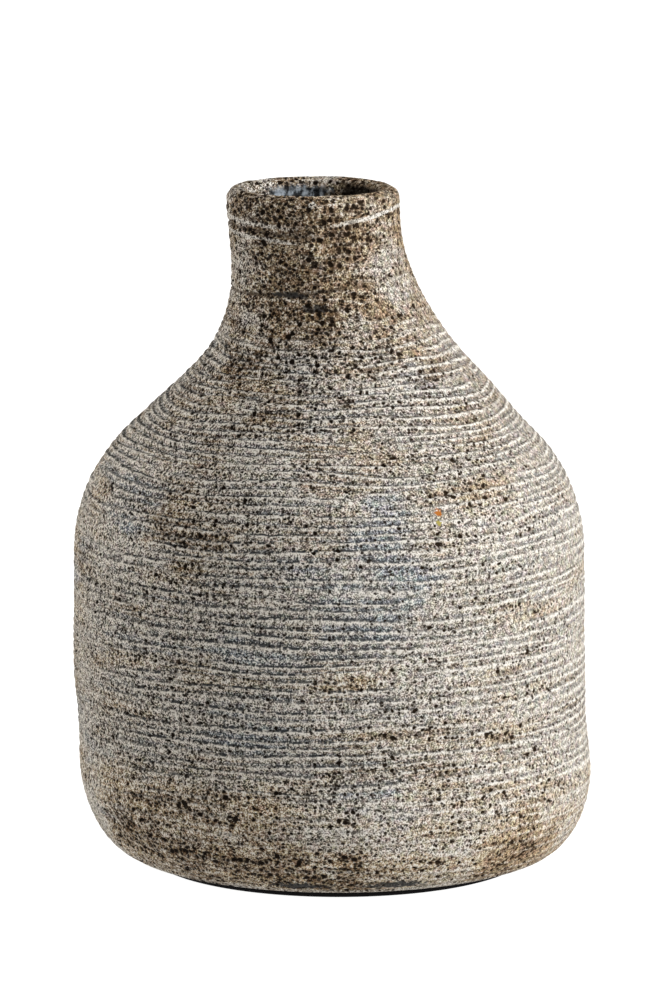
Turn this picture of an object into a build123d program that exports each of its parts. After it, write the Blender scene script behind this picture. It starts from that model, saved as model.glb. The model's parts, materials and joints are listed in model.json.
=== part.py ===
from build123d import *

import math
import os
from typing import NamedTuple

# Bottle vase: five clay sections lapped and luted together, slip brushed on outside, glaze inside.
# Millimetres, +Z up. The origin is the middle of the felt's underside, and the front faces -Y.
# Every piece is a line of level rings joined by straight walls. The rings drift along X with height,
# because the thrown axis leans.

# Felt under the foot
FELT_THICKNESS = 3.5
FELT_INSET = 7.5

# Base dish, with a flat floor and a rounded corner
FOOT_RADIUS = 74.0
CORNER_HEIGHT = 33.0
CORNER_START_ANGLE = 12.0
FLOOR_THICKNESS = 8.0

# Belly wall, a little wider where it meets the dish, and drawn in at the seam above it
SEAM_RISE = 11.5
WALL_RISE = 61.5
BELLY_RADIUS = 89.0
BELLY_FLARE = 1.0
WAIST_DEPTH = 0.9
WAIST_SPREAD = 14.0

# Shoulder, sloping in at an angle from upright
SHOULDER_ARC = 57.0
SHOULDER_SLOPE = 44.0

# Neck and its collar
NECK_ARC = 66.0
NECK_RADIUS = 30.0
NECK_UPRIGHT = 12.0
COLLAR_HEIGHT = 25.0

# Lip
LIP_BAND = 7.0
LIP_RISE = 4.5

# Clay wall and its two coats
CLAY_THICKNESS = 6.0
SLIP_THICKNESS = 1.0
LINER_THICKNESS = 0.6
SLIP_HEM = 1.5

# Lap joints between the clay sections
LAP_HEIGHT = 5.0

# Brush ridges in the slip
RIDGE_PITCH = 3.2
RIDGE_HEIGHT = 0.4

# Sideways drift of the axis over the belly, the slope and the neck
BELLY_LEAN = -3.3
SHOULDER_LEAN = 1.8
NECK_LEAN = -7.4

# Fineness of the rings
RING_STEP = 5.0
CURVE_POINTS = 60
LIP_POINTS = 10

# Heights that follow from these
SLOPE = math.radians(SHOULDER_SLOPE)
SLOPE_RUN = BELLY_RADIUS - NECK_RADIUS - (SHOULDER_ARC + NECK_ARC) * (1 - math.cos(SLOPE))
FOOT_Z = FELT_THICKNESS
FLOOR_Z = FOOT_Z + FLOOR_THICKNESS
CORNER_Z = FOOT_Z + CORNER_HEIGHT
SEAM_Z = CORNER_Z + SEAM_RISE
WALL_Z = SEAM_Z + WALL_RISE
SLOPE_Z = WALL_Z + SHOULDER_ARC * math.sin(SLOPE)
SWEEP_Z = SLOPE_Z + SLOPE_RUN / math.tan(SLOPE)
NECK_Z = SWEEP_Z + NECK_ARC * math.sin(SLOPE)
LIP_Z = NECK_Z + NECK_UPRIGHT
LIP_SEAM_Z = LIP_Z - LIP_BAND
COLLAR_SEAM_Z = LIP_SEAM_Z - COLLAR_HEIGHT

# Radii of the belly's widest ring and of the straight throat inside the lip
BULGE_RADIUS = BELLY_RADIUS + BELLY_FLARE
THROAT_RADIUS = NECK_RADIUS - SLIP_THICKNESS - CLAY_THICKNESS
MOUTH_RADIUS = THROAT_RADIUS - SLIP_THICKNESS


class Ring(NamedTuple):
    """A level circle, with its centre shifted along X."""

    radius: float
    height: float
    shift: float


def ease(low, high, height):
    """Smooth step from 0 at the low height to 1 at the high one."""
    share = min(max((height - low) / (high - low), 0.0), 1.0)
    return share * share * (3 - 2 * share)


def drift(height):
    """Sideways place of the thrown axis at a height."""
    belly = BELLY_LEAN * ease(FOOT_Z, SEAM_Z + WALL_RISE / 2, height)
    shoulder = SHOULDER_LEAN * ease(SLOPE_Z, SWEEP_Z, height)
    neck = NECK_LEAN * ease(SWEEP_Z, LIP_Z, height)
    return belly + shoulder + neck


def arc_line(center, radii, start, end):
    """Points along an ellipse arc in the section plane, between two angles in degrees."""
    line = []
    for step in range(CURVE_POINTS + 1):
        angle = math.radians(start + (end - start) * step / CURVE_POINTS)
        line.append((center[0] + radii[0] * math.cos(angle), center[1] + radii[1] * math.sin(angle)))
    return line


def straight_line(start, end):
    """Points along a straight run in the section plane."""
    shares = [step / CURVE_POINTS for step in range(CURVE_POINTS + 1)]
    return [(start[0] + (end[0] - start[0]) * s, start[1] + (end[1] - start[1]) * s) for s in shares]


def outline():
    """Section of the slip's face, from the foot's edge up to the lip, as radius and height."""
    start = math.radians(CORNER_START_ANGLE)
    corner_run = (BULGE_RADIUS - FOOT_RADIUS) / (1 - math.sin(start))
    corner_drop = CORNER_HEIGHT / math.cos(start)
    corner_center = (BULGE_RADIUS - corner_run, CORNER_Z)
    shoulder_center = (BELLY_RADIUS - SHOULDER_ARC, WALL_Z)
    neck_center = (NECK_RADIUS + NECK_ARC, NECK_Z)
    corner = arc_line(corner_center, (corner_run, corner_drop), CORNER_START_ANGLE - 90, 0)
    wall = straight_line((BULGE_RADIUS, CORNER_Z), (BELLY_RADIUS, WALL_Z))
    shoulder = arc_line(shoulder_center, (SHOULDER_ARC, SHOULDER_ARC), 0, SHOULDER_SLOPE)
    neck = arc_line(neck_center, (NECK_ARC, NECK_ARC), 180 + SHOULDER_SLOPE, 180)
    line = corner + wall[1:] + shoulder[1:] + neck + [(NECK_RADIUS, LIP_Z)]
    return [(r - WAIST_DEPTH * math.exp(-(((z - SEAM_Z) / WAIST_SPREAD) ** 2)), z) for r, z in line]


def walk(line, spacing):
    """Even steps along a line, each with its radius, its height and the normal that faces outwards."""
    lengths = [math.dist(a, b) for a, b in zip(line, line[1:])]
    count = round(sum(lengths) / spacing)
    stride = sum(lengths) / count
    steps = []
    passed = 0.0
    for (a, b), length in zip(zip(line, line[1:]), lengths):
        normal = ((b[1] - a[1]) / length, (a[0] - b[0]) / length)
        while len(steps) < count and len(steps) * stride <= passed + length:
            share = (len(steps) * stride - passed) / length
            steps.append((a[0] + (b[0] - a[0]) * share, a[1] + (b[1] - a[1]) * share, normal))
        passed += length
    steps.append((line[-1][0], line[-1][1], normal))
    return steps


def sunk(step, depth):
    """Ring at a depth under the slip's face."""
    radius, height, normal = step
    height = height - depth * normal[1]
    return Ring(radius - depth * normal[0], height, drift(height))


def ring_at(rings, height):
    """Ring at a height on a line of rings that goes upwards, straight down below its lowest one."""
    if height <= rings[0].height:
        return Ring(rings[0].radius, height, rings[0].shift)
    above = next(i for i, ring in enumerate(rings) if ring.height >= height)
    low = rings[above - 1]
    high = rings[above]
    share = (height - low.height) / (high.height - low.height)
    return Ring(*(a + (b - a) * share for a, b in zip(low, high)))


def between(rings, low, high):
    """Stretch of a line of rings from a low height to a high one."""
    inner = [ring for ring in rings if low < ring.height < high]
    return [ring_at(rings, low)] + inner + [ring_at(rings, high)]


def lip_dome(depth):
    """Rings over the rounded lip, from the outside inwards, at a depth under the slip's face."""
    middle = THROAT_RADIUS + CLAY_THICKNESS / 2
    reach = CLAY_THICKNESS / 2 + SLIP_THICKNESS - depth
    rise = LIP_RISE - depth
    angles = [math.pi * step / LIP_POINTS for step in range(1, LIP_POINTS)]
    return [Ring(middle + reach * math.cos(a), LIP_Z + rise * math.sin(a), drift(LIP_Z)) for a in angles]


def wire_of(ring):
    return Wire.make_circle(ring.radius, Plane(origin=(ring.shift, 0, ring.height)))


def wall_between(a, b):
    """Face between two rings: a flat washer where they are level, and a straight wall elsewhere."""
    if math.isclose(a.height, b.height, abs_tol=1e-6):
        small, large = sorted((a, b))
        return [Face(wire_of(large), [wire_of(small)])]
    return Shell.make_loft([wire_of(a), wire_of(b)], ruled=True).faces()


def turned(rings, closed=True):
    """Solid whose section is a line of rings. An open line ends in a flat disc at each end."""
    faces = [face for a, b in zip(rings, rings[1:]) for face in wall_between(a, b)]
    if closed:
        faces += wall_between(rings[-1], rings[0])
    else:
        faces += [Face(wire_of(rings[0])), Face(wire_of(rings[-1]))]
    return Solid(Shell(faces))


COARSE_STEPS = walk(outline(), RING_STEP)
RIDGE_STEPS = walk(outline(), RIDGE_PITCH / 2)
THROAT_RING = Ring(THROAT_RADIUS, NECK_Z, drift(LIP_Z))
THROAT_TOP = THROAT_RING._replace(height=LIP_Z)
FOOT_RING = Ring(FOOT_RADIUS - SLIP_HEM, FOOT_Z, drift(FOOT_Z))

# Faces of the clay and of the liner, as lines of rings going upwards
CLAY_FACE = [sunk(step, SLIP_THICKNESS) for step in COARSE_STEPS]
INNER_FACE = [sunk(step, SLIP_THICKNESS + CLAY_THICKNESS) for step in COARSE_STEPS]
INNER_FACE = [ring for ring in INNER_FACE if ring.height < NECK_Z - RING_STEP / 2] + [THROAT_RING, THROAT_TOP]
LINER_FACE = [sunk(step, SLIP_THICKNESS + CLAY_THICKNESS + LINER_THICKNESS) for step in COARSE_STEPS]
LINER_TOP = THROAT_RING._replace(radius=THROAT_RADIUS - LINER_THICKNESS)
LINER_FACE = [ring for ring in LINER_FACE if ring.height < NECK_Z - RING_STEP / 2] + [LINER_TOP]


def lap(height):
    """Step of the lap joint whose outside line is at a height, from that line up to its inside edge."""
    top = height + LAP_HEIGHT
    outer = min(ring_at(CLAY_FACE, height).radius, ring_at(CLAY_FACE, top).radius)
    inner = max(ring_at(INNER_FACE, height).radius, ring_at(INNER_FACE, top).radius)
    low = Ring((outer + inner) / 2, height, drift((height + top) / 2))
    return [low, low._replace(height=top)]


def clay_section(low, high):
    """Ring of clay between two lap joints."""
    outside = between(CLAY_FACE, low, high)
    inside = between(INNER_FACE, low + LAP_HEIGHT, high + LAP_HEIGHT)
    return turned(outside + lap(high) + inside[::-1] + lap(low)[::-1])


def base_dish():
    outside = between(CLAY_FACE, CLAY_FACE[0].height, SEAM_Z)
    inside = between(INNER_FACE, FLOOR_Z, SEAM_Z + LAP_HEIGHT)
    return turned([FOOT_RING] + outside[1:] + lap(SEAM_Z) + inside[::-1], closed=False)


def lip_coil():
    outside = between(CLAY_FACE, LIP_SEAM_Z, LIP_Z)
    inside = between(INNER_FACE, LIP_SEAM_Z + LAP_HEIGHT, LIP_Z)
    return turned(outside + lip_dome(SLIP_THICKNESS) + inside[::-1] + lap(LIP_SEAM_Z)[::-1])


def slip_coat():
    """Brushed slip, ridged outside, turned in over the lip and down the throat."""
    depths = [0.0] + [RIDGE_HEIGHT / 2 * (-1) ** i for i in range(len(RIDGE_STEPS) - 2)] + [0.0]
    outside = [sunk(step, depth) for step, depth in zip(RIDGE_STEPS, depths)]
    mouth = [ring._replace(radius=MOUTH_RADIUS) for ring in (THROAT_TOP, THROAT_RING)]
    backing = [THROAT_RING, THROAT_TOP] + lip_dome(SLIP_THICKNESS)[::-1] + CLAY_FACE[:0:-1] + [FOOT_RING]
    return turned(outside + lip_dome(0.0) + mouth + backing)


def liner_glaze():
    outside = between(INNER_FACE, FLOOR_Z, NECK_Z)
    inside = between(LINER_FACE, FLOOR_Z + LINER_THICKNESS, NECK_Z)
    return turned(outside + inside[::-1], closed=False)


def felt_pad():
    foot = (Align.CENTER, Align.CENTER, Align.MIN)
    return Cylinder(FOOT_RADIUS - FELT_INSET, FELT_THICKNESS, align=foot)


PIECES = {
    "felt_pad": felt_pad(),
    "base_dish": base_dish(),
    "belly_wall": clay_section(SEAM_Z, WALL_Z),
    "shoulder": clay_section(WALL_Z, COLLAR_SEAM_Z),
    "neck_collar": clay_section(COLLAR_SEAM_Z, LIP_SEAM_Z),
    "lip_coil": lip_coil(),
    "slip_coat": slip_coat(),
    "liner_glaze": liner_glaze(),
}

os.makedirs("parts", exist_ok=True)
for name, piece in PIECES.items():
    export_step(piece, f"parts/{name}.step")
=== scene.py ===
import json
import math

import bpy
from bpy.props import FloatProperty, FloatVectorProperty, PointerProperty
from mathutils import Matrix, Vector


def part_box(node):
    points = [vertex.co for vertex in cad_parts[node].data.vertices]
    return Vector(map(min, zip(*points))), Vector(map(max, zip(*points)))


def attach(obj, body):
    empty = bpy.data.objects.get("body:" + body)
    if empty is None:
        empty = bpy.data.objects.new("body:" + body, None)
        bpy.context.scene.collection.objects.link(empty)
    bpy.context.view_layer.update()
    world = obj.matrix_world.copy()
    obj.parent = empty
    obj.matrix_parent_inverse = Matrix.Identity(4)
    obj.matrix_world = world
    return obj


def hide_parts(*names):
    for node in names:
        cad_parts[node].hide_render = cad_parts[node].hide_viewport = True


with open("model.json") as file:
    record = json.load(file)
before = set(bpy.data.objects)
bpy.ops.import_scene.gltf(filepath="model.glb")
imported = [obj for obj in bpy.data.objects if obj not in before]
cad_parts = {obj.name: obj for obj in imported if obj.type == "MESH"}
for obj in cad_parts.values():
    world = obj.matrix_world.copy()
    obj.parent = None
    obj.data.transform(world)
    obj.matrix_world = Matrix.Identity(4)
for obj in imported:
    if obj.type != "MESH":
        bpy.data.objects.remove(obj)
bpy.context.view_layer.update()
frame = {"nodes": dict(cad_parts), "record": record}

bl_info = {
    "name": "Bottle vase",
    "version": (1, 0, 0),
    "blender": (4, 5, 0),
    "location": "View3D > Sidebar > Vase",
    "description": "Dresses a thrown bottle vase in brushed slip, glaze and felt",
    "category": "Object",
}

# Metres, in the frame of the solids: +Z up, the front faces -Y, the felt stands on Z = 0.
BODY = "root"
CLAY_NODES = ("base_dish", "belly_wall", "shoulder", "neck_collar", "lip_coil")
MOUTH = next(mount for mount in frame["record"]["mounts"] if mount["name"] == "mouth")


# Sizes and colours


def length(name, description, default):
    """Property for a length in metres."""
    return FloatProperty(name=name, description=description, default=default, unit="LENGTH", precision=5)


def angle(name, description, degrees):
    """Property for an angle."""
    return FloatProperty(name=name, description=description, default=math.radians(degrees), subtype="ANGLE")


def share(name, description, default):
    """Property for a plain number."""
    return FloatProperty(name=name, description=description, default=default)


def colour(name, description, default):
    """Property for a surface colour."""
    return FloatVectorProperty(
        name=name, description=description, default=default, subtype="COLOR", size=3, min=0.0, max=1.0
    )


class VaseSection(bpy.types.PropertyGroup):
    """Section that the slip's face follows, from the foot to the lip."""

    foot_height: length("Foot height", "Height of the foot above the table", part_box("base_dish")[0].z)
    floor_height: length("Floor height", "Height of the clay floor inside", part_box("liner_glaze")[0].z)
    seam_height: length("Seam height", "Height where the belly wall starts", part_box("belly_wall")[0].z)
    wall_height: length("Wall height", "Height where the shoulder starts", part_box("shoulder")[0].z)
    top_height: length("Top height", "Height of the lip's crest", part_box("slip_coat")[1].z)
    foot_radius: length("Foot radius", "Radius of the foot's edge", 0.074)
    corner_rise: length("Corner rise", "Height of the rounded lower corner", 0.033)
    corner_angle: angle("Corner angle", "Slope of the corner at the foot", 12)
    belly_radius: length("Belly radius", "Radius of the belly under the shoulder", 0.089)
    belly_flare: length("Belly flare", "How much wider the belly is above the corner", 0.001)
    waist_depth: length("Waist depth", "How far the seam is drawn in", 0.0009)
    waist_spread: length("Waist spread", "Height over which the seam is drawn in", 0.014)
    shoulder_arc: length("Shoulder arc", "Radius of the shoulder's curve", 0.057)
    shoulder_slope: angle("Shoulder slope", "Slope from upright", 44)
    neck_arc: length("Neck arc", "Radius of the sweep into the neck", 0.066)
    neck_radius: length("Neck radius", "Radius of the neck under the lip", 0.030)
    lip_rise: length("Lip rise", "Height of the rounded lip", 0.0045)
    clay_thickness: length("Clay thickness", "Wall of the clay", 0.006)
    slip_thickness: length("Slip thickness", "Coat of slip outside", 0.001)
    liner_thickness: length("Liner thickness", "Coat of glaze inside", 0.0006)
    slip_hem: length("Slip hem", "Width of slip turned under the foot", 0.0015)
    belly_lean: length("Belly lean", "Sideways drift over the belly", -0.0033)
    shoulder_lean: length("Shoulder lean", "Sideways drift over the slope", 0.0018)
    neck_lean: length("Neck lean", "Sideways drift over the neck", -0.0074)


class SlipFinish(bpy.types.PropertyGroup):
    """Brushed and burst slip on the outside."""

    row_step: length("Row step", "Height of one row of faces", 0.0005)
    ridge_pitch: length("Ridge pitch", "Usual distance between brush lines", 0.0032)
    ridge_height: length("Ridge height", "Height of the brush ridges", 0.00065)
    wobble: length("Wobble", "Unevenness of the thrown wall", 0.0007)
    pit_depth: length("Pit depth", "Depth of the burst pits", 0.00055)
    groove_depth: length("Groove depth", "Depth of the grooves cut round the neck", 0.0006)
    chalk: colour("Chalk", "Crests of the slip", (0.72, 0.69, 0.635))
    ground: colour("Ground", "Slip between the crests", (0.40, 0.370, 0.330))
    beige: colour("Beige", "Warm thin slip", (0.40, 0.305, 0.20))
    slate: colour("Slate", "Blue-grey slip", (0.220, 0.253, 0.290))
    bare: colour("Bare", "Clay seen through thin slip", (0.150, 0.106, 0.068))
    umber: colour("Umber", "Bottom of the grooves", (0.085, 0.062, 0.042))
    iron: colour("Iron", "Brown halo round the pits", (0.150, 0.082, 0.034))
    pit: colour("Pit", "Bottom of the pits", (0.009, 0.0055, 0.003))
    rutile: colour("Rutile", "Rare orange specks", (0.48, 0.17, 0.035))
    yellow: colour("Yellow", "Rare yellow specks", (0.42, 0.36, 0.10))


class LinerFinish(bpy.types.PropertyGroup):
    """Glaze inside."""

    ring_pitch: length("Ring pitch", "Distance between the throwing rings", 0.009)
    ring_height: length("Ring height", "Height of the throwing rings", 0.0004)
    glaze: colour("Glaze", "Grey of the glaze", (0.17, 0.185, 0.205))
    pale: colour("Pale", "Thin glaze on the rings", (0.42, 0.44, 0.45))


class FeltFinish(bpy.types.PropertyGroup):
    """Felt under the foot."""

    edge: length("Edge", "Rounding of the felt's edge", 0.0006)
    nap: length("Nap", "Unevenness of the felt", 0.00012)
    black: colour("Black", "Colour of the felt", (0.006, 0.006, 0.007))


class ClayFinish(bpy.types.PropertyGroup):
    """Bare clay under the coats."""

    body: colour("Body", "Colour of the fired clay", (0.19, 0.135, 0.09))
    grog: colour("Grog", "Grains in the clay", (0.36, 0.29, 0.21))


class StudioStage(bpy.types.PropertyGroup):
    """Camera, lights and floor."""

    camera_distance: length("Camera distance", "How far the camera stands in front", 2.4)
    camera_height: length("Camera height", "Height of the camera", 0.5624)
    aim_height: length("Aim height", "Height that the camera looks at", 0.121)
    camera_side: length("Camera side", "How far the camera stands to the right", -0.00231)
    lens: share("Lens", "Focal length in millimetres on a 36 mm tall frame", 251.6)
    rise: share("Rise", "Upward shift of the frame", 0.0154)
    key_power: share("Key power", "Watts of the large light on the right", 31.0)
    fill_power: share("Fill power", "Watts of the weak light on the left", 10.0)
    sky: share("Sky", "Strength of the even light all round", 0.535)
    floor_glow: share("Floor glow", "Strength of the lit table", 0.98)
    floor_size: length("Floor size", "Width of the floor", 16.0)


GROUPS = {
    "vase_section": VaseSection,
    "vase_slip": SlipFinish,
    "vase_liner": LinerFinish,
    "vase_felt": FeltFinish,
    "vase_clay": ClayFinish,
    "vase_stage": StudioStage,
}


# Node trees


def plug(tree, value, socket):
    """Links a wire to a socket, or sets a plain value on it."""
    if isinstance(value, Wire):
        tree.links.new(value.socket, socket)
    elif socket.type == "RGBA":
        socket.default_value = (*value[:3], 1.0)
    else:
        socket.default_value = value


class Wire:
    """Output socket of a node. Arithmetic on it adds Math nodes to its tree."""

    def __init__(self, tree, socket):
        self.tree = tree
        self.socket = socket

    def maths(self, operation, *values):
        node = self.tree.nodes.new("ShaderNodeMath")
        node.operation = operation
        for value, socket in zip(values, node.inputs):
            plug(self.tree, value, socket)
        return Wire(self.tree, node.outputs[0])

    def __add__(self, other):
        return self.maths("ADD", self, other)

    def __radd__(self, other):
        return self.maths("ADD", other, self)

    def __sub__(self, other):
        return self.maths("SUBTRACT", self, other)

    def __rsub__(self, other):
        return self.maths("SUBTRACT", other, self)

    def __mul__(self, other):
        return self.maths("MULTIPLY", self, other)

    def __rmul__(self, other):
        return self.maths("MULTIPLY", other, self)

    def __truediv__(self, other):
        return self.maths("DIVIDE", self, other)

    def __rtruediv__(self, other):
        return self.maths("DIVIDE", other, self)

    def __abs__(self):
        return self.maths("ABSOLUTE", self)

    def power_of_e(self):
        return self.maths("EXPONENT", self)

    def smaller(self, other):
        return self.maths("MINIMUM", self, other)

    def larger(self, other):
        return self.maths("MAXIMUM", self, other)


class Bench:
    """Node tree under construction."""

    def __init__(self, tree):
        self.tree = tree

    def node(self, kind, settings=None, sockets=None, give=0):
        """Node of a type, its settings made before its sockets, as the wire or wires it gives."""
        made = self.tree.nodes.new(kind)
        for name, value in (settings or {}).items():
            setattr(made, name, value)
        for key, value in (sockets or {}).items():
            plug(self.tree, value, made.inputs[key])
        if give is None:
            return made
        if isinstance(give, tuple):
            return tuple(Wire(self.tree, made.outputs[key]) for key in give)
        return Wire(self.tree, made.outputs[give])

    def split(self, vector):
        return self.node("ShaderNodeSeparateXYZ", {}, {"Vector": vector}, ("X", "Y", "Z"))

    def join(self, x, y, z):
        return self.node("ShaderNodeCombineXYZ", {}, {"X": x, "Y": y, "Z": z})

    def vector(self, operation, *values, give="Vector"):
        """Vector Math node. Its inputs are taken in order."""
        return self.node("ShaderNodeVectorMath", {"operation": operation}, dict(enumerate(values)), give)

    def scaled(self, vector, factor):
        """Vector or colour times a number."""
        sockets = {"Vector": vector, "Scale": factor}
        return self.node("ShaderNodeVectorMath", {"operation": "SCALE"}, sockets)

    def step(self, value, low, high):
        """Smooth step from 0 at the low value to 1 at the high one."""
        sockets = {"Value": value, "From Min": low, "From Max": high}
        return self.node("ShaderNodeMapRange", {"interpolation_type": "SMOOTHSTEP"}, sockets, "Result")

    def noise(self, vector, size=1.0, detail=2.0, roughness=0.5):
        """Soft noise from 0 to 1, with features of about a size."""
        sockets = {"Vector": vector, "Scale": 1 / size, "Detail": detail, "Roughness": roughness}
        return self.node("ShaderNodeTexNoise", {"noise_dimensions": "3D"}, sockets, "Fac")

    def cells(self, vector, size):
        """Distance to the nearest of many scattered points, in sizes, and that point's three lots."""
        sockets = {"Vector": vector, "Scale": 1 / size}
        return self.node("ShaderNodeTexVoronoi", {"feature": "F1"}, sockets, ("Distance", "Color"))

    def tint(self, factor, first, second):
        """Colour between two."""
        sockets = {0: factor, 6: first, 7: second}
        return self.node("ShaderNodeMix", {"data_type": "RGBA"}, sockets, 2)

    def attribute(self, name):
        """Vector stored on the piece."""
        return self.node("ShaderNodeAttribute", {"attribute_name": name}, {}, "Vector")


def new_material(name):
    """Material, its bench and its shader node."""
    material = bpy.data.materials.new(name)
    material.use_nodes = True
    material.node_tree.nodes.clear()
    bench = Bench(material.node_tree)
    shader = bench.node("ShaderNodeBsdfPrincipled", give=None)
    sockets = {"Surface": Wire(bench.tree, shader.outputs["BSDF"])}
    bench.node("ShaderNodeOutputMaterial", {}, sockets, None)
    return material, bench, shader


def finish_shader(bench, shader, sockets):
    """Sets or links the shader's own sockets."""
    for key, value in sockets.items():
        plug(bench.tree, value, shader.inputs[key])


# Section lines


def smooth_step(low, high, value):
    """Smooth step from 0 at the low value to 1 at the high one."""
    part = min(max((value - low) / (high - low), 0.0), 1.0)
    return part * part * (3 - 2 * part)


class Section:
    """Lines of radius and height that the turned pieces follow."""

    LINE_POINTS = 80

    def __init__(self, sizes):
        self.sizes = sizes
        slope = sizes.shoulder_slope
        arcs = (sizes.shoulder_arc + sizes.neck_arc) * (1 - math.cos(slope))
        slope_run = sizes.belly_radius - sizes.neck_radius - arcs
        self.corner_z = sizes.foot_height + sizes.corner_rise
        self.slope_z = sizes.wall_height + sizes.shoulder_arc * math.sin(slope)
        self.sweep_z = self.slope_z + slope_run / math.tan(slope)
        self.neck_z = self.sweep_z + sizes.neck_arc * math.sin(slope)
        self.lip_z = sizes.top_height - sizes.lip_rise
        self.bulge_radius = sizes.belly_radius + sizes.belly_flare
        self.mouth_radius = MOUTH["dims"]["r_mm"] / 1000

    def drift(self, height):
        """Sideways place of the thrown axis at a height."""
        sizes = self.sizes
        middle = (sizes.seam_height + sizes.wall_height) / 2
        belly = sizes.belly_lean * smooth_step(sizes.foot_height, middle, height)
        shoulder = sizes.shoulder_lean * smooth_step(self.slope_z, self.sweep_z, height)
        neck = sizes.neck_lean * smooth_step(self.sweep_z, self.lip_z, height)
        return belly + shoulder + neck

    def arc(self, center, radii, start, end):
        """Points along an ellipse arc between two angles."""
        angles = [start + (end - start) * i / self.LINE_POINTS for i in range(self.LINE_POINTS + 1)]
        return [(center[0] + radii[0] * math.cos(a), center[1] + radii[1] * math.sin(a)) for a in angles]

    def run(self, start, end):
        """Points along a straight run."""
        parts = [i / self.LINE_POINTS for i in range(self.LINE_POINTS + 1)]
        return [(start[0] + (end[0] - start[0]) * p, start[1] + (end[1] - start[1]) * p) for p in parts]

    def face(self):
        """Slip's face from the foot's edge up to the lip."""
        sizes = self.sizes
        sink = math.sin(sizes.corner_angle)
        corner_run = (self.bulge_radius - sizes.foot_radius) / (1 - sink)
        corner_drop = sizes.corner_rise / math.cos(sizes.corner_angle)
        corner = self.arc(
            (self.bulge_radius - corner_run, self.corner_z),
            (corner_run, corner_drop),
            sizes.corner_angle - math.pi / 2,
            0.0,
        )
        wall = self.run((self.bulge_radius, self.corner_z), (sizes.belly_radius, sizes.wall_height))
        shoulder = self.arc(
            (sizes.belly_radius - sizes.shoulder_arc, sizes.wall_height),
            (sizes.shoulder_arc, sizes.shoulder_arc),
            0.0,
            sizes.shoulder_slope,
        )
        neck = self.arc(
            (sizes.neck_radius + sizes.neck_arc, self.neck_z),
            (sizes.neck_arc, sizes.neck_arc),
            math.pi + sizes.shoulder_slope,
            math.pi,
        )
        line = corner + wall[1:] + shoulder[1:] + neck + [(sizes.neck_radius, self.lip_z)]
        return [(r - self.waist(z), z) for r, z in line]

    def waist(self, height):
        sizes = self.sizes
        return sizes.waist_depth * math.exp(-(((height - sizes.seam_height) / sizes.waist_spread) ** 2))

    def lip(self):
        """Over the rounded lip and down into the throat."""
        middle = (self.sizes.neck_radius + self.mouth_radius) / 2
        reach = (self.sizes.neck_radius - self.mouth_radius) / 2
        dome = self.arc((middle, self.lip_z), (reach, self.sizes.lip_rise), 0.0, math.pi)
        return dome, [(self.mouth_radius, self.neck_z)]

    def radius(self, height):
        """Radius of the slip's face at a height."""
        line = self.face()
        above = next((i for i, point in enumerate(line) if point[1] >= height), len(line) - 1)
        return line[above][0]

    def spot(self, side, height):
        """Point on the front of the slip's face, at a place across and a height."""
        centre = self.drift(height)
        depth = self.radius(height) ** 2 - (side - centre) ** 2
        return Vector((side, -math.sqrt(max(depth, 0.0)), height))


def walk(line, spacing):
    """Even steps along a line as position, outward normal and distance passed."""
    lengths = [math.dist(a, b) for a, b in zip(line, line[1:])]
    count = max(round(sum(lengths) / spacing), 2)
    stride = sum(lengths) / count
    steps = []
    passed = 0.0
    for a, b, span in zip(line, line[1:], lengths):
        while len(steps) < count and len(steps) * stride <= passed + span:
            part = (len(steps) * stride - passed) / span
            steps.append((a[0] + (b[0] - a[0]) * part, a[1] + (b[1] - a[1]) * part))
        passed += span
    steps.append(line[-1])
    found = []
    for i, point in enumerate(steps):
        before = steps[max(i - 1, 0)]
        after = steps[min(i + 1, len(steps) - 1)]
        tangent = Vector((after[0] - before[0], after[1] - before[1])).normalized()
        found.append((Vector(point), Vector((tangent.y, -tangent.x)), i * stride))
    return found


class Row:
    """Level ring of a turned piece."""

    def __init__(self, radius, height, drift, normal=(0.0, 0.0), flow=0.0, relief=0.0):
        self.radius = radius
        self.height = height
        self.drift = drift
        self.normal = normal
        self.flow = flow
        self.relief = relief


def section_object(name, rows):
    """Line of points that carries the rows of a turned piece to its node tree."""
    mesh = bpy.data.meshes.new(name)
    points = [(row.radius, 0.0, row.height) for row in rows]
    mesh.from_pydata(points, [(i, i + 1) for i in range(len(rows) - 1)], [])
    for key in ("drift", "flow", "relief"):
        values = [getattr(row, key) for row in rows]
        mesh.attributes.new(key, "FLOAT", "POINT").data.foreach_set("value", values)
    normals = [value for row in rows for value in (row.normal[0], 0.0, row.normal[1])]
    mesh.attributes.new("outward", "FLOAT_VECTOR", "POINT").data.foreach_set("vector", normals)
    return bpy.data.objects.new(name, mesh)


# Turning


TURNING_INPUTS = {
    "Section": "NodeSocketObject",
    "Columns": "NodeSocketInt",
    "Rows": "NodeSocketInt",
    "Smooth Rows": "NodeSocketInt",
    "Relief Height": "NodeSocketFloat",
    "Relief Pitch": "NodeSocketFloat",
    "Pit Depth": "NodeSocketFloat",
    "Groove Depth": "NodeSocketFloat",
    "Wobble": "NodeSocketFloat",
    "Material": "NodeSocketMaterial",
}
MERGE_DISTANCE = 1e-6


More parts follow.
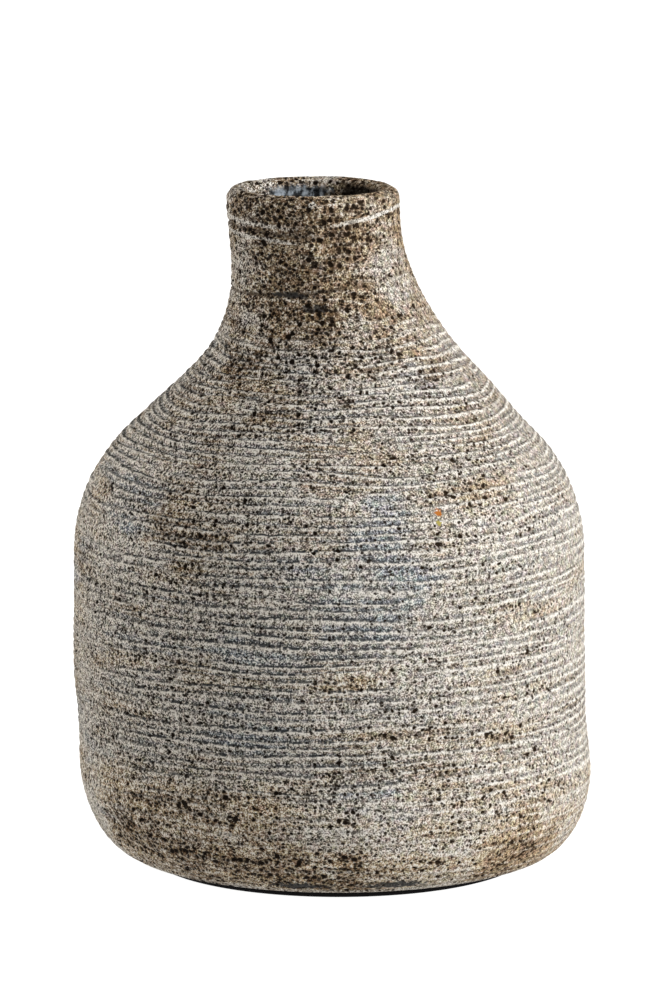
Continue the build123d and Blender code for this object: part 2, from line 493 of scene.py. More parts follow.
def turning_tree(name, relief):
    """Node tree that turns a section into a closed ring or bowl, with a relief on its face."""
    tree = bpy.data.node_groups.new(name, "GeometryNodeTree")
    for label, kind in TURNING_INPUTS.items():
        tree.interface.new_socket(label, in_out="INPUT", socket_type=kind)
    tree.interface.new_socket("Geometry", in_out="OUTPUT", socket_type="NodeSocketGeometry")
    bench = Bench(tree)
    given = dict(zip(TURNING_INPUTS, bench.node("NodeGroupInput", give=tuple(TURNING_INPUTS))))
    line = bench.node("GeometryNodeObjectInfo", {}, {"Object": given["Section"]}, "Geometry")
    tube = bench.node(
        "GeometryNodeMeshCylinder",
        {"fill_type": "NONE"},
        {"Vertices": given["Columns"], "Side Segments": given["Rows"], "Radius": 1.0, "Depth": 1.0},
        "Mesh",
    )
    cosine, sine, level = bench.split(bench.node("GeometryNodeInputPosition"))
    place = (level + 0.5) * given["Rows"]
    row = place.maths("ROUND", place)

    def sampled(kind, value):
        sockets = {"Geometry": line, "Value": value, "Index": row}
        return bench.node("GeometryNodeSampleIndex", {"data_type": kind, "domain": "POINT"}, sockets)

    def carried(kind, key):
        named = bench.node("GeometryNodeInputNamedAttribute", {"data_type": kind}, {"Name": key})
        return sampled(kind, named)

    radius, unused, height = bench.split(sampled("FLOAT_VECTOR", bench.node("GeometryNodeInputPosition")))
    out_radius, unused, out_height = bench.split(carried("FLOAT_VECTOR", "outward"))
    drift = carried("FLOAT", "drift")
    lay = bench.join(cosine, sine, carried("FLOAT", "flow"))
    rest = bench.join(drift + radius * cosine, radius * sine, height)
    raised = carried("FLOAT", "relief") * relief(bench, rest, lay, given)
    wide = radius + raised * out_radius
    moved = bench.join(drift + wide * cosine, wide * sine, height + raised * out_height)
    smooth = place.maths("LESS_THAN", place, given["Smooth Rows"])
    sockets = {"Geometry": tube, "Shade Smooth": smooth}
    shape = bench.node("GeometryNodeSetShadeSmooth", {"domain": "FACE"}, sockets)
    for key, value in (("rest", rest), ("lay", lay)):
        sockets = {"Geometry": shape, "Name": key, "Value": value}
        shape = bench.node("GeometryNodeStoreNamedAttribute", {"data_type": "FLOAT_VECTOR"}, sockets)
    shape = bench.node("GeometryNodeSetPosition", {}, {"Geometry": shape, "Position": moved})
    shape = bench.node("GeometryNodeMergeByDistance", {}, {"Geometry": shape, "Distance": MERGE_DISTANCE})
    shape = bench.node("GeometryNodeRealizeInstances", {}, {"Geometry": shape})
    shape = bench.node("GeometryNodeSetMaterial", {}, {"Geometry": shape, "Material": given["Material"]})
    bench.node("NodeGroupOutput", {}, {"Geometry": shape}, None)
    return tree


def turned_piece(name, tree, rows, columns, smooth_rows, values):
    """Plain mesh object turned from rows by a node tree."""
    section = section_object(name + "_section", rows)
    bpy.context.scene.collection.objects.link(section)
    piece = bpy.data.objects.new(name, bpy.data.meshes.new(name + "_blank"))
    bpy.context.scene.collection.objects.link(piece)
    modifier = piece.modifiers.new("Turning", "NODES")
    modifier.node_group = tree
    given = {
        "Section": section,
        "Columns": columns,
        "Rows": len(rows) - 1,
        "Smooth Rows": smooth_rows,
        **values,
    }
    for item in tree.interface.items_tree:
        if item.in_out == "INPUT" and item.name in given:
            modifier[item.identifier] = given[item.name]
    graph = bpy.context.evaluated_depsgraph_get()
    turned = piece.evaluated_get(graph)
    mesh = bpy.data.meshes.new_from_object(turned, preserve_all_data_layers=True, depsgraph=graph)
    piece.modifiers.remove(modifier)
    blank = piece.data
    piece.data = mesh
    mesh.name = name
    bpy.data.meshes.remove(blank)
    bpy.data.objects.remove(section)
    if not mesh.polygons:
        raise RuntimeError(f"{name} came out empty")
    return piece


def place_piece(piece, node):
    """Hands a finished piece to the frame."""
    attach(piece, BODY)
    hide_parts(node)


# Slip


# Places on the front where the slip burst more or less than elsewhere: side, height, reach, amount
BURST_ZONES = (
    (-0.006, 0.214, 0.030, 0.28),
    (-0.027, 0.224, 0.022, 0.28),
    (0.016, 0.209, 0.018, -0.25),
    (0.004, 0.182, 0.026, 0.14),
    (-0.061, 0.034, 0.045, 0.15),
    (-0.066, 0.018, 0.014, 0.25),
    (-0.050, 0.014, 0.014, 0.35),
    (-0.036, 0.012, 0.011, 0.70),
    (-0.022, 0.011, 0.011, 0.90),
    (-0.007, 0.011, 0.010, 0.80),
    (0.004, 0.012, 0.010, 0.50),
    (-0.005, 0.026, 0.034, 0.15),
    (-0.047, 0.131, 0.028, 0.20),
    (0.060, 0.013, 0.025, 0.35),
    (0.045, 0.143, 0.022, 0.25),
    (-0.025, 0.176, 0.028, 0.25),
    (0.009, 0.109, 0.040, -0.25),
    (-0.025, 0.073, 0.034, -0.15),
    (0.076, 0.099, 0.050, -0.10),
    (0.042, 0.050, 0.030, 0.22),
    (-0.071, 0.135, 0.024, -0.20),
)
# Places on the front with blue-grey slip: side, height, reach, amount
SLATE_ZONES = (
    (-0.071, 0.135, 0.026, 0.5),
    (0.009, 0.111, 0.034, 0.5),
    (-0.030, 0.071, 0.034, 0.4),
    (0.020, 0.126, 0.022, 0.4),
    (0.030, 0.166, 0.022, 0.4),
    (0.012, 0.040, 0.022, 0.4),
)
# Places on the front with brown, iron-rich slip: side, height, reach, amount
OCHRE_ZONES = (
    (-0.006, 0.211, 0.034, 0.25),
    (-0.030, 0.012, 0.030, 0.50),
    (-0.065, 0.022, 0.042, 0.45),
    (0.060, 0.009, 0.030, 0.35),
    (-0.045, 0.166, 0.030, 0.12),
)
# Strokes of slate on the front: side, distance along the face, half width, half height, amount
STROKES = (
    (-0.0155, 0.2256, 0.0075, 0.0015, 0.85),
    (-0.0080, 0.2212, 0.0060, 0.0016, 0.85),
    (-0.0125, 0.0080, 0.0120, 0.0027, 0.94),
    (0.0180, 0.0082, 0.0130, 0.0024, 0.92),
)
# Single marks on the front: side, height, reach, colour
MARKS = (
    (-0.0527, 0.0347, 0.0013, "pit"),
    (-0.0372, 0.0318, 0.0013, "pit"),
    (-0.0345, 0.0313, 0.0012, "pit"),
    (-0.0091, 0.2344, 0.0012, "chalk"),
    (-0.0091, 0.2344, 0.0006, "pit"),
    (0.0333, 0.1355, 0.0013, "rutile"),
    (0.0338, 0.1322, 0.0009, "yellow"),
)
# Rings round the neck: distance along the face, tilt to the right, rise to both sides, half width
LIP_RING = (0.2483, 0.00175, 0.00355, 0.0010)
UNDER_RING = (0.2457, 0.00175, 0.00355, 0.0011)
LOW_RING = (0.2436, 0.00175, 0.00355, 0.0008)
COLLAR_RING = (0.2272, 0.0030, 0.0, 0.0009)
# Distances along the face, from the hem, over which a look sets in
LIP_PITS = (0.235, 0.252)
NECK_PITS = (0.165, 0.225)
FOOT_PITS = (0.050, 0.012)
NECK_LINES = (0.220, 0.198)
FOOT_LINES = (0.018, 0.060)
UPPER_LINES = (0.12, 0.15)
THIN_SLIP = (0.12, 0.19)
FOOT_TONE_AND_BOUNCE = (0.050, 0.015)
PALE_HEM = (0.0055, 0.0045)
THROAT_GLAZE = (0.2650, 0.2680)
THROAT_SHADE = (0.2635, 0.2670)
# Sizes of the grain, scale of its hue, and spacing of the pits
GRAIN_SIZE = 0.00055
FLECK_SIZE = 0.0015
TORN_SIZE = 0.0016
BEAD_SIZE = 0.0014
CLUMP_SIZE = 0.0055
HUE_SCALE = 450.0
SPECK_SPACING = 0.00155
PIT_SPACING = 0.0026
LARGE_PIT_SPACING = 0.0060
# Brightest slip, and how little it shines
WHITEST = (0.88, 0.86, 0.82)
SLIP_SHEEN = 0.08
# Lengths over which the relief fades out, under the foot and in the throat
HEM_FADE = 0.002
THROAT_FADE = 0.003


def zones(bench, rest, section, places):
    """Sum of soft-edged places on the slip's face."""
    ragged = (bench.noise(bench.vector("ADD", rest, (0.4, 0.2, 0.0)), size=0.012, detail=4.0) - 0.5) * 0.03
    total = 0.0
    for side, height, reach, amount in places:
        away = bench.vector("DISTANCE", rest, section.spot(side, height), give="Value") + ragged
        total = total + bench.step(away, reach, reach * 0.3) * amount
    return total


def strokes(bench, rest, lay):
    """Strokes of slate, the strongest where they overlap."""
    cosine, sine, flow = bench.split(lay)
    side = bench.split(rest)[0]
    ragged = bench.noise(rest, size=0.0018, detail=3.0) - 0.5
    total = 0.0
    for place, along, half_width, half_height, amount in STROKES:
        across = (side - place) / half_width
        up = (flow - along) / half_height
        away = across * across + up * up + ragged * 3.0
        mask = bench.step(away, 1.0, 0.3) * bench.step(sine, 0.0, -0.2) * amount
        total = mask.larger(total)
    return total


def ring_line(bench, lay, ring):
    """Ring round the neck, 1 along its middle."""
    cosine, sine, flow = bench.split(lay)
    place, tilt, rise, half = ring
    sway = bench.noise(bench.join(cosine * 2.5, sine * 2.5, place), detail=1.0) - 0.5
    away = flow - (place + cosine * tilt + abs(cosine) * rise + sway * 0.002)
    return bench.step(abs(away), half, half * 0.3)


def pale_rings(bench, lay):
    """Two rings under the lip where the slip stayed whole, the lower one on the left only."""
    cosine = bench.split(lay)[0]
    upper = ring_line(bench, lay, LIP_RING) * bench.step(abs(cosine), 0.10, 0.5)
    return upper.larger(ring_line(bench, lay, LOW_RING) * bench.step(cosine, 0.0, -0.5))


def cut_rings(bench, lay):
    """Grooves under the lip and round the collar, fading to the right."""
    cosine = bench.split(lay)[0]
    under = ring_line(bench, lay, UNDER_RING) * bench.step(cosine, 0.2, -0.3)
    return under.larger(ring_line(bench, lay, COLLAR_RING) * bench.step(cosine, 0.6, 0.1))


def brush(bench, lay, rest, pitch):
    """Place across a brush ridge, from 0 at its foot to 1 at the next, and how deep the brush bit there."""
    cosine, sine, flow = bench.split(lay)
    sway = bench.noise(bench.join(cosine * 0.9, sine * 0.9, flow / 0.03), detail=1.0) - 0.5
    crowd = bench.noise(bench.join(cosine * 1.3, sine * 1.3 + 2.0, flow / 0.008), detail=1.0) - 0.5
    shake = bench.noise(rest, size=0.003, detail=1.0) - 0.5
    turns = flow / pitch + sway * 2.4 + crowd * 1.3 + shake * 0.3
    ridge = turns.maths("FLOOR", turns)
    loose = bench.noise(bench.join(cosine * 2.4, sine * 2.4, ridge * 2.7), detail=2.0)
    neck = bench.step(flow, *NECK_LINES)
    foot = bench.step(flow, *FOOT_LINES)
    edge = bench.step(cosine, -0.98, -0.70).larger(bench.step(flow, *UPPER_LINES))
    bite = bench.step(loose, 0.34, 0.54) * (0.3 + 0.7 * neck)
    bite = bite * (0.4 + 0.6 * foot) * (0.4 + 0.6 * edge)
    return turns - ridge, bite


def pitting(bench, rest, lay, section):
    """Share of the slip's bubbles that burst."""
    cosine, sine, flow = bench.split(lay)
    drawn = bench.join(cosine * 2.6, sine * 2.6 + 3.0, flow / 0.006)
    streaks = bench.noise(drawn, detail=3.0, roughness=0.6)
    lip = bench.step(flow, *LIP_PITS)
    neck = bench.step(flow, *NECK_PITS)
    foot = bench.step(flow, *FOOT_PITS)
    loose = bench.step(streaks, 0.36, 0.66)
    total = 0.08 + loose * 0.52 + lip * 0.32 + neck * 0.22 + foot * 0.05 - cosine * 0.04
    total = total - pale_rings(bench, lay) * 0.7
    return (total + zones(bench, rest, section, BURST_ZONES)).larger(0.05).smaller(1.0)


def burst_pits(bench, rest, size, reach, amount):
    """Round pits scattered on the slip, 1 in a pit, and the halo round them. The reach is in sizes."""
    sockets = {"Vector": rest, "Scale": 1.1 / size, "Detail": 1.0}
    bend = bench.node("ShaderNodeTexNoise", {}, sockets, "Color")
    bent = bench.vector("MULTIPLY_ADD", bend, (size * 0.5, size * 0.5, size * 0.5), rest)
    distance, lots = bench.cells(bench.vector("MULTIPLY", bent, (1.0, 1.0, 1.2)), size)
    lot, other, unused = bench.split(lots)
    edge = (0.55 + other * 0.45) * reach
    burst = bench.step(amount - lot, 0.0, 0.12)
    pit = bench.step(distance, edge, edge * 0.6) * burst
    return pit, bench.step(distance, edge * 2.0, edge * 0.8) * burst


def pit_layers(bench, rest, thick):
    """Middle and large pits in one mask, and their halos in another."""
    swell = 0.85 + thick * 0.4
    middle, middle_halo = burst_pits(bench, rest, PIT_SPACING, swell * 0.44, thick * 0.75 + 0.02)
    moved = bench.vector("ADD", rest, (0.05, 0.02, 0.01))
    large, large_halo = burst_pits(bench, moved, LARGE_PIT_SPACING, 0.24, thick * 0.7 - 0.22)
    return middle.larger(large), middle_halo.larger(large_halo)


def slip_relief(section):
    """Relief of the slip's face for its node tree."""

    def relief(bench, rest, lay, given):
        cosine, sine, flow = bench.split(lay)
        wall = bench.noise(bench.join(cosine * 1.6, sine * 1.6, flow / 0.018), detail=2.0) - 0.5
        place, bite = brush(bench, lay, rest, given["Relief Pitch"])
        ridge = (bench.step(place, 0.0, 0.7) - bench.step(place, 0.78, 0.95) - 0.5) * (0.3 + 0.7 * bite)
        ridge = ridge * (1 - bench.step(cosine, 0.2, 0.9) * 0.4)
        pits, unused = pit_layers(bench, rest, pitting(bench, rest, lay, section))
        raised = wall * given["Wobble"] + ridge * given["Relief Height"]
        return raised - pits * given["Pit Depth"] - cut_rings(bench, lay) * given["Groove Depth"]

    return relief


def slip_tone(bench, finish, section, rest, lay, thick):
    """Colour of the slip before its grain, lines and pits, with painted light from below on the foot, and
    how rusty it is.
    """
    cosine, sine, flow = bench.split(lay)
    warm = bench.noise(bench.join(cosine * 2.4 + 2.0, sine * 2.4, flow / 0.02), detail=3.0) - 0.5
    foot = bench.step(flow, *FOOT_TONE_AND_BOUNCE)
    left = 0.85 - cosine * 0.5
    warm = 0.5 + foot * 0.2 + warm * left * 1.8 + (thick - 0.4) * 0.6
    warm = warm + zones(bench, rest, section, OCHRE_ZONES)
    cool = bench.noise(bench.join(cosine * 2.2, sine * 2.2 + 5.0, flow / 0.011), detail=3.0) - 0.5
    streak = bench.noise(bench.join(cosine * 3.0, sine * 3.0 + 9.0, flow / 0.0035), detail=2.0) - 0.5
    blue = zones(bench, rest, section, SLATE_ZONES) + (cool * 2.2 + streak * 1.3) * left
    tone = bench.tint(bench.step(warm, 0.30, 0.90) * 0.9, finish.ground, finish.beige)
    tone = bench.tint(bench.step(blue, 0.10, 0.75) * 0.8, tone, finish.slate)
    thin = bench.step(flow, *THIN_SLIP) * 0.36
    tone = bench.tint(thin * (0.5 + warm), tone, finish.bare)
    rust = bench.step(warm, 0.55, 1.1)
    tone = bench.tint(rust * foot * 0.38, tone, finish.iron)
    # Painted light: the foot is lightened as if lit from the table below, more on the left
    tone = bench.scaled(tone, 1 + foot * (0.4 - cosine * 0.25))
    sockets = {"Vector": rest, "Scale": HUE_SCALE, "Detail": 2.0}
    hue = bench.node("ShaderNodeTexNoise", {}, sockets, "Color")
    hue = bench.vector("MULTIPLY_ADD", hue, (0.50, 0.25, 0.60), (0.75, 0.875, 0.70))
    return bench.vector("MULTIPLY", tone, hue), rust


def slip_throat(bench, finish, rest, lay, tone):
    """Glaze that ran up over the slip inside the mouth, streaked with painted highlights, and a painted
    shadow on the right inside the mouth, as the new colour and how glossy it is.
    """
    cosine, sine, flow = bench.split(lay)
    ragged = (bench.noise(rest, size=0.004, detail=3.0) - 0.5) * 0.5
    inside = bench.step(flow + ragged * 0.006, *THROAT_GLAZE)
    run = bench.step(abs(cosine + 0.22) + ragged, 0.55, 0.35) * bench.step(sine, 0.0, 0.3) * inside
    streak = bench.noise(bench.join(cosine * 9.0, sine * 9.0, flow / 0.004), detail=3.0)
    dark = bench.scaled(finish.slate, 0.10)
    # Painted highlight: the pale streaks stand for highlights on the glossy glaze
    light = bench.scaled(finish.slate, 1.8)
    glaze_and_painted_highlight = bench.tint(bench.step(streak, 0.42, 0.60), dark, light)
    tone = bench.tint(run, tone, glaze_and_painted_highlight)
    # Painted shadow: the right of the throat is darkened almost to black where shade falls
    shade = bench.step(cosine + ragged * 0.4, 0.30, 0.55) * bench.step(sine, -0.3, 0.1)
    shade = shade * bench.step(flow + ragged * 0.004, *THROAT_SHADE)
    return bench.tint(shade * 0.95, tone, bench.scaled(finish.pit, 0.5)), run


def slip_material(finish, section):
    """Brushed slip: chalk crests with painted highlights, brush lines and troughs darkened with painted
    shade, pits with brown edges, and a coarse grain.
    """
    material, bench, shader = new_material("slip_brushed")
    rest = bench.attribute("rest")
    lay = bench.attribute("lay")
    cosine, sine, flow = bench.split(lay)
    place, bite = brush(bench, lay, rest, finish.ridge_pitch)
    torn = bench.noise(rest, size=TORN_SIZE, detail=2.0)
    # Painted shade in the brush lines and troughs is weaker on the right, where the key light falls
    lit = 1 - bench.step(cosine, -0.1, 0.7) * 0.45
    painted_groove_shade = bench.step(abs(place - 0.90), 0.22, 0.08) * bite * lit
    painted_groove_shade = painted_groove_shade * (0.25 + 0.75 * bench.step(torn, 0.41, 0.54))
    bead = bench.noise(bench.vector("ADD", rest, (0.1, 0.0, 0.3)), size=BEAD_SIZE, detail=1.0)
    # Pale crests, partly the slip's own pale colour and partly a painted highlight just under each groove
    crest_and_highlight = bench.step(place, 0.36, 0.64) * bench.step(place, 0.90, 0.80) * bite
    crest_and_highlight = crest_and_highlight * (0.45 + 0.55 * bench.step(bead, 0.34, 0.58))
    # Painted shade on the lower part of each ridge
    painted_trough_shade = bench.step(place, 0.45, 0.05) * bite * lit
    thick = pitting(bench, rest, lay, section)
    pits, halo = pit_layers(bench, rest, thick)
    moved = bench.vector("ADD", rest, (0.0, 0.07, 0.0))
    clump = bench.noise(moved, size=CLUMP_SIZE, detail=2.0)
    swell = 0.82 + thick * 0.4
    amount = thick * 0.75 + clump * 1.3 - 0.30
    specks, speck_halo = burst_pits(bench, moved, SPECK_SPACING, swell * 0.56, amount)
    grain = bench.noise(rest, size=GRAIN_SIZE, detail=1.0, roughness=0.6) - 0.5
    aside = bench.vector("ADD", rest, (0.2, 0.1, 0.0))
    fleck = bench.noise(aside, size=FLECK_SIZE, detail=2.0, roughness=0.65) - 0.5

    tone, rust = slip_tone(bench, finish, section, rest, lay, thick)
    # Painted shade in the troughs, in dark slate
    tone = bench.tint(painted_trough_shade * 0.75, tone, bench.scaled(finish.slate, 0.55))
    # Chalk on the crests, with their painted highlight
    tone = bench.tint(crest_and_highlight, tone, finish.chalk)
    pale = pale_rings(bench, lay).larger(bench.step(flow, *PALE_HEM) * 0.7)
    tone = bench.tint(pale * (0.68 - cosine * 0.12), tone, finish.chalk)
    rim = halo.larger(speck_halo * 0.7)
    tooth = grain * (9.2 - cosine * 5.2) + fleck * (5.5 - cosine * 2.0)
    tooth = tooth * (1 - crest_and_highlight * 0.35) + crest_and_highlight * 0.15 + rim * (1 - rust) * 0.35
    tone = bench.scaled(tone, tooth.power_of_e())
    tone = bench.vector("MINIMUM", tone, WHITEST)
    tone = bench.tint(rim * (0.16 + rust * 0.46), tone, finish.iron)
    # Painted shade along the brush grooves
    tone = bench.tint(painted_groove_shade * 0.96, tone, bench.scaled(finish.slate, 0.16))
    tone = bench.tint(cut_rings(bench, lay) * 0.75, tone, finish.umber)
    tone = bench.tint(strokes(bench, rest, lay), tone, bench.scaled(finish.slate, 0.12))
    # Painted light: the pits are lighter on the right, where the key light falls into them
    pit_with_painted_light = bench.scaled(finish.pit, 1 + bench.step(cosine, -0.2, 0.7) * 2.0)
    tone = bench.tint(specks * 0.95, tone, pit_with_painted_light)
    tone = bench.tint(pits, tone, pit_with_painted_light)
    for side, height, reach, key in MARKS:
        away = bench.vector("DISTANCE", rest, section.spot(side, height), give="Value") + fleck * 0.004
        tone = bench.tint(bench.step(away, reach, reach * 0.7), tone, getattr(finish, key))
    tone, gloss = slip_throat(bench, finish, rest, lay, tone)

    height = grain * 0.5 + fleck * 0.5 + crest_and_highlight * 0.3 - specks * 0.6 - pits * 1.2 - painted_groove_shade * 0.6
    normal = bench.node("ShaderNodeBump", {}, {"Strength": 0.8, "Distance": 0.0004, "Height": height})
    rough = 0.92 - gloss * 0.67
    sockets = {"Base Color": tone, "Roughness": rough, "Specular IOR Level": SLIP_SHEEN, "Normal": normal}
    finish_shader(bench, shader, sockets)
    return material


# Rows of the face to one row of the backing
SLIP_BACKING_STEP = 12


def slip_rows(section, low, high, step):
    """Rows of the band of slip between two shares of its face, up the face and back along the clay."""
    sizes = section.sizes
    face = section.face()
    dome, throat = section.lip()
    hem = (sizes.foot_radius - sizes.slip_hem, sizes.foot_height)
    steps = walk([hem] + face + dome[1:] + throat, step)
    total = steps[-1][2]
    lip_start = sizes.slip_hem + sum(math.dist(a, b) for a, b in zip(face, face[1:]))
    first = round(low * (len(steps) - 1))
    last = round(high * (len(steps) - 1))

    def row(index, depth):
        point, normal, flow = steps[index]
        height = point.y - depth * normal.y
        inside = flow > lip_start
        drift = section.drift(section.lip_z if inside else height)
        start = smooth_step(sizes.slip_hem, sizes.slip_hem + HEM_FADE, flow)
        end = smooth_step(total, total - THROAT_FADE, flow)
        relief = start * end if depth == 0.0 else 0.0
        return Row(point.x - depth * normal.x, height, drift, normal, flow, relief)

    outside = [row(index, 0.0) for index in range(first, last + 1)]
    backing = [row(index, sizes.slip_thickness) for index in range(last, first, -SLIP_BACKING_STEP)]
    backing.append(row(first, sizes.slip_thickness))
    return outside + backing + outside[:1], len(outside) - 1


class VASE_OT_slip(bpy.types.Operator):
    """Brush the slip on, in bands from the foot to the throat"""

    bl_idname = "vase.slip"
    bl_label = "Brush the slip"

    def execute(self, context):
        scene = context.scene
        section = Section(scene.vase_section)
        finish = scene.vase_slip
        tree = turning_tree("slip_turning", slip_relief(section))
        values = {
            "Relief Height": finish.ridge_height,
            "Relief Pitch": finish.ridge_pitch,
            "Pit Depth": finish.pit_depth,
            "Groove Depth": finish.groove_depth,
            "Wobble": finish.wobble,
            "Material": slip_material(finish, section),
        }
        bands = {
            "slip_foot": (0.0, 0.19, 760),
            "slip_belly": (0.19, 0.40, 760),
            "slip_shoulder": (0.40, 0.57, 760),
            "slip_slope": (0.57, 0.76, 560),
            "slip_neck": (0.76, 1.0, 420),
        }
        for name, (low, high, columns) in bands.items():
            rows, smooth_rows = slip_rows(section, low, high, finish.row_step)
            piece = turned_piece(name, tree, rows, columns, smooth_rows, values)
            place_piece(piece, "slip_coat")
        return {"FINISHED"}


# Liner


LINER_ROW_STEP = 0.002
LINER_FLOOR_RINGS = 24
# Keeps the last row of the wall below the throat's own row
LINER_TOP_GAP = 0.0025


def liner_relief(bench, rest, lay, given):
    """Throwing rings under the glaze."""
    cosine, sine, flow = bench.split(lay)
    sway = bench.noise(bench.join(cosine, sine, flow / 0.04), detail=1.0)
    turns = (flow / given["Relief Pitch"] + sway * 1.5) * math.tau
    return turns.maths("SINE", turns) * given["Relief Height"]


def liner_material(finish):
    """Grey glaze, pale and rougher in soft patches."""
    material, bench, shader = new_material("liner_glazed")
    rest = bench.attribute("rest")
    pool = bench.noise(rest, size=0.012, detail=4.0, roughness=0.6)
    tone = bench.tint(bench.step(pool, 0.42, 0.68), finish.glaze, finish.pale)
    rough = 0.22 + bench.step(pool, 0.4, 0.7) * 0.2
    finish_shader(bench, shader, {"Base Color": tone, "Roughness": rough})
    return material


def liner_rows(section):
    """Rows of the liner, up along the clay and back down along the glaze's face."""
    sizes = section.sizes
    wall = sizes.slip_thickness + sizes.clay_thickness
    lip_drift = section.drift(section.lip_z)
    steps = walk(section.face(), LINER_ROW_STEP)

    def side(depth, floor):
        rows = []
        for point, normal, flow in steps:
            height = point.y - depth * normal.y
            if floor < height < section.neck_z - LINER_TOP_GAP:
                radius = point.x - depth * normal.x
                rows.append(Row(radius, height, section.drift(height), -normal, flow, 1.0))
        return rows

    clay_throat = sizes.neck_radius - wall
    floor = sizes.floor_height
    glaze_floor = floor + sizes.liner_thickness
    outside = side(wall, floor)
    inside = side(wall + sizes.liner_thickness, glaze_floor)
    for row in outside:
        row.relief = 0.0
    floor_drift = section.drift(floor)
    axis_outside = Row(0.0, floor, floor_drift)
    axis_inside = Row(0.0, glaze_floor, floor_drift, (0.0, 1.0))
    top_outside = Row(clay_throat, section.neck_z, lip_drift)
    top_inside = Row(clay_throat - sizes.liner_thickness, section.neck_z, lip_drift)
    edge = inside[0].radius
    floor_rows = []
    for i in range(LINER_FLOOR_RINGS, 0, -1):
        part = i / LINER_FLOOR_RINGS
        flow = -edge * (1 - part)
        floor_rows.append(Row(edge * part, glaze_floor, floor_drift, (0.0, 1.0), flow, min(1.0, part * 3)))
    corner = Row(outside[0].radius, floor, floor_drift)
    clay_side = [axis_outside, corner, *outside, top_outside]
    return clay_side + [top_inside] + inside[::-1] + floor_rows + [axis_inside]


class VASE_OT_liner(bpy.types.Operator):
    """Glaze the inside"""

    bl_idname = "vase.liner"
    bl_label = "Glaze the inside"
    COLUMNS = 192

    def execute(self, context):
        scene = context.scene
        finish = scene.vase_liner
        rows = liner_rows(Section(scene.vase_section))
        tree = turning_tree("liner_turning", liner_relief)
        values = {
            "Relief Height": finish.ring_height,
            "Relief Pitch": finish.ring_pitch,
            "Material": liner_material(finish),
        }
        piece = turned_piece("liner_glaze_face", tree, rows, self.COLUMNS, len(rows), values)
        place_piece(piece, "liner_glaze")
        return {"FINISHED"}


# Felt


# Rings on each face of the felt, and steps round its edge
FELT_RINGS = 12


def felt_relief(bench, rest, lay, given):
    """Uneven nap of the felt."""
    return (bench.noise(rest, size=0.0012, detail=3.0, roughness=0.7) - 0.5) * given["Relief Height"]


def felt_material(finish):
    """Dull black felt."""
    material, bench, shader = new_material("felt_black")
    rest = bench.attribute("rest")
    fibre = bench.noise(rest, size=0.0006, detail=4.0, roughness=0.75)
    tone = bench.scaled(finish.black, 0.6 + fibre * 1.2)
    normal = bench.node("ShaderNodeBump", {}, {"Strength": 0.8, "Distance": 0.0003, "Height": fibre})
    sockets = {"Base Color": tone, "Roughness": 1.0, "Specular IOR Level": 0.1, "Normal": normal}
    finish_shader(bench, shader, sockets)
    return material


def felt_rows(edge):
    """Rows of the felt disc, from the middle underneath round its edge to the middle on top."""
    low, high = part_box("felt_pad")
    radius = (high.x - low.x) / 2
    middle = radius - edge
    count = FELT_RINGS
    rows = [Row(middle * i / count, low.z, 0.0) for i in range(count + 1)]
    for i in range(1, count):
        turn = math.pi * i / count - math.pi / 2
        normal = (math.cos(turn), math.sin(turn))
        height = (low.z + high.z) / 2 + (high.z - low.z) / 2 * normal[1]
        rows.append(Row(middle + edge * normal[0], height, 0.0, normal, 0.0, normal[0]))
    rows += [Row(middle * i / count, high.z, 0.0) for i in range(count, -1, -1)]
    return rows


class VASE_OT_felt(bpy.types.Operator):
    """Cut the felt"""

    bl_idname = "vase.felt"
    bl_label = "Cut the felt"
    COLUMNS = 480

    def execute(self, context):
        finish = context.scene.vase_felt
        rows = felt_rows(finish.edge)
        tree = turning_tree("felt_turning", felt_relief)
        values = {"Relief Height": finish.nap, "Material": felt_material(finish)}
        piece = turned_piece("felt_disc", tree, rows, self.COLUMNS, len(rows), values)
        place_piece(piece, "felt_pad")
        return {"FINISHED"}


# Clay


class VASE_OT_clay(bpy.types.Operator):
    """Fire the clay sections"""

    bl_idname = "vase.clay"
    bl_label = "Fire the clay"

    def execute(self, context):
        finish = context.scene.vase_clay
        material, bench, shader = new_material("clay_stoneware")
        place = bench.node("ShaderNodeTexCoord", give="Object")
        distance, lots = bench.cells(place, 0.0016)
        grains = bench.step(distance, 0.34, 0.18) * bench.step(bench.split(lots)[0], 0.45, 0.8)
        mottle = bench.noise(place, size=0.006, detail=4.0, roughness=0.65)
        tone = bench.scaled(bench.tint(grains, finish.body, finish.grog), 0.65 + mottle * 0.7)
        sockets = {"Strength": 0.5, "Distance": 0.0004, "Height": grains + mottle}
        normal = bench.node("ShaderNodeBump", {}, sockets)
        finish_shader(bench, shader, {"Base Color": tone, "Roughness": 0.9, "Normal": normal})
        for name in CLAY_NODES:
            mesh = frame["nodes"][name].data
            mesh.materials.clear()
            mesh.materials.append(material)
        return {"FINISHED"}


# Stage


# Keeps the floor clear of the felt's underside
FLOOR_GAP = 0.0002


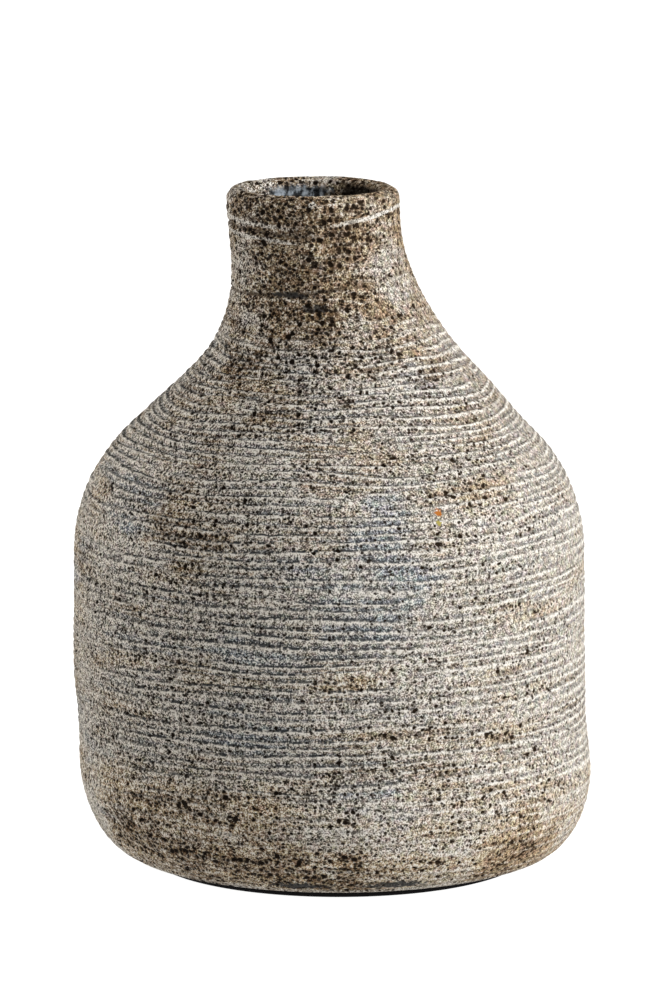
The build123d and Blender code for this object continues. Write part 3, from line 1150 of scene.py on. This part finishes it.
class VASE_OT_stage(bpy.types.Operator):
    """Set the floor, the lights and the camera"""

    bl_idname = "vase.stage"
    bl_label = "Set the stage"

    def execute(self, context):
        stage = context.scene.vase_stage
        self.lay_floor(context, stage)
        self.hang_lights(context, stage)
        self.set_camera(context, stage)
        context.scene.view_settings.view_transform = "Standard"
        return {"FINISHED"}

    def lay_floor(self, context, stage):
        half = stage.floor_size / 2
        mesh = bpy.data.meshes.new("floor")
        corners = [(-half, -half), (half, -half), (half, half), (-half, half)]
        mesh.from_pydata([(x, y, -FLOOR_GAP) for x, y in corners], [], [(0, 1, 2, 3)])
        material, bench, shader = new_material("floor_white")
        sockets = {
            "Base Color": (0.4, 0.4, 0.4),
            "Roughness": 1.0,
            "Specular IOR Level": 0.0,
            "Emission Color": (1.0, 1.0, 1.0),
            "Emission Strength": stage.floor_glow,
        }
        finish_shader(bench, shader, sockets)
        mesh.materials.append(material)
        floor = bpy.data.objects.new("floor", mesh)
        context.scene.collection.objects.link(floor)
        floor.visible_diffuse = False

    def hang_lights(self, context, stage):
        aim = Vector((0.0, 0.0, stage.aim_height))
        lights = {
            "key_light": ((1.62, -0.52, 0.74), 0.9, stage.key_power, (1.0, 0.99, 0.975)),
            "fill_light": ((-1.4, 0.75, 0.5), 0.8, stage.fill_power, (1.0, 0.93, 0.84)),
        }
        for name, (place, size, power, tint) in lights.items():
            light = bpy.data.lights.new(name, "AREA")
            light.size = size
            light.energy = power
            light.color = tint
            lamp = bpy.data.objects.new(name, light)
            lamp.location = place
            lamp.rotation_euler = (aim - Vector(place)).to_track_quat("-Z", "Y").to_euler()
            context.scene.collection.objects.link(lamp)
        world = bpy.data.worlds.new("studio")
        world.use_nodes = True
        background = next(node for node in world.node_tree.nodes if node.type == "BACKGROUND")
        background.inputs["Color"].default_value = (1.0, 0.955, 0.89, 1.0)
        background.inputs["Strength"].default_value = stage.sky
        context.scene.world = world

    def set_camera(self, context, stage):
        camera = bpy.data.cameras.new("camera")
        camera.sensor_fit = "VERTICAL"
        camera.sensor_height = 36.0
        camera.lens = stage.lens
        camera.shift_y = stage.rise
        camera.clip_end = 100.0
        holder = bpy.data.objects.new("camera", camera)
        holder.location = (stage.camera_side, -stage.camera_distance, stage.camera_height)
        aim = Vector((stage.camera_side, 0.0, stage.aim_height))
        holder.rotation_euler = (aim - holder.location).to_track_quat("-Z", "Y").to_euler()
        context.scene.collection.objects.link(holder)
        context.scene.camera = holder


OPERATORS = (VASE_OT_clay, VASE_OT_slip, VASE_OT_liner, VASE_OT_felt, VASE_OT_stage)


class VASE_PT_panel(bpy.types.Panel):
    """Sizes, colours and pieces of the vase"""

    bl_idname = "VASE_PT_panel"
    bl_label = "Bottle vase"
    bl_space_type = "VIEW_3D"
    bl_region_type = "UI"
    bl_category = "Vase"

    def draw(self, context):
        for operator in OPERATORS:
            self.layout.operator(operator.bl_idname)
        for key in GROUPS:
            box = self.layout.box()
            group = getattr(context.scene, key)
            box.label(text=group.bl_rna.name)
            for name in group.bl_rna.properties.keys():
                if name not in ("rna_type", "name"):
                    box.prop(group, name)


def register():
    for group in GROUPS.values():
        bpy.utils.register_class(group)
    for key, group in GROUPS.items():
        setattr(bpy.types.Scene, key, PointerProperty(type=group))
    for item in (*OPERATORS, VASE_PT_panel):
        bpy.utils.register_class(item)


def unregister():
    for item in (VASE_PT_panel, *reversed(OPERATORS)):
        bpy.utils.unregister_class(item)
    for key in GROUPS:
        delattr(bpy.types.Scene, key)
    for group in reversed(GROUPS.values()):
        bpy.utils.unregister_class(group)


def main():
    register()
    bpy.ops.vase.clay()
    bpy.ops.vase.slip()
    bpy.ops.vase.liner()
    bpy.ops.vase.felt()
    bpy.ops.vase.stage()


if __name__ == "__main__":
    main()
